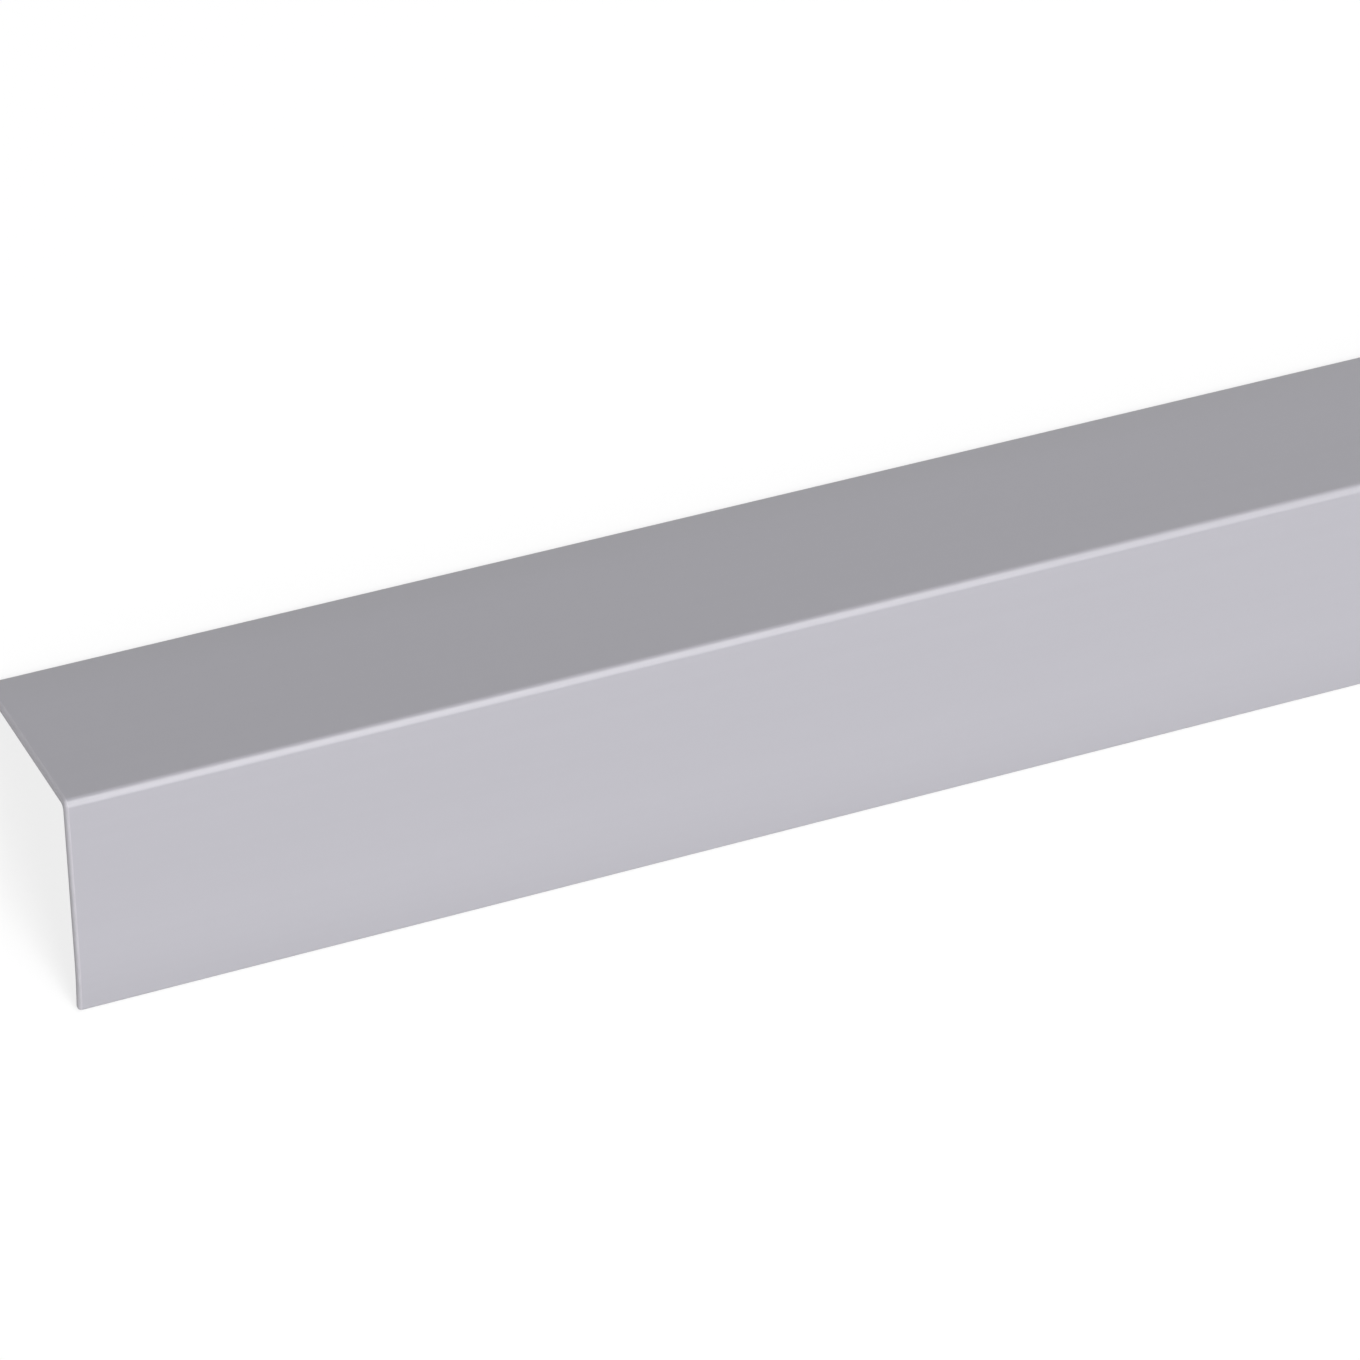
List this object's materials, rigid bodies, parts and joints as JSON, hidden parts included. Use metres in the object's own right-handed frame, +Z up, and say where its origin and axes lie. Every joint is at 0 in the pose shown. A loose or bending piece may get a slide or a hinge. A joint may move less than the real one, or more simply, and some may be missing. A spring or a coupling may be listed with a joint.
{
  "type": "self-adhesive pvc angle profile",
  "caption": "Straight equal-leg angle strip in satin silver-grey PVC with inturned rims and adhesive tape inside both legs, for covering outside wall corners.",
  "frame": {"origin": "on the floor under the middle of the ridge; the profile stands on its two free rims", "axes": "+X along the length, +Z up through the ridge, +Y towards the back leg; the section is symmetric about the XZ plane and the length about the YZ plane"},
  "size_m": [1, 0.0412, 0.0218],
  "materials": {
    "pvc_silver_grey": "satin",
    "foam_tape": "matte",
    "liner_paper": "satin"
  },
  "bodies": {
    "root": {"angle_profile": "pvc_silver_grey", "adhesive_tape_front": "foam_tape", "adhesive_tape_back": "foam_tape", "release_liner_front": "liner_paper", "release_liner_back": "liner_paper"}
  },
  "joints": []
}
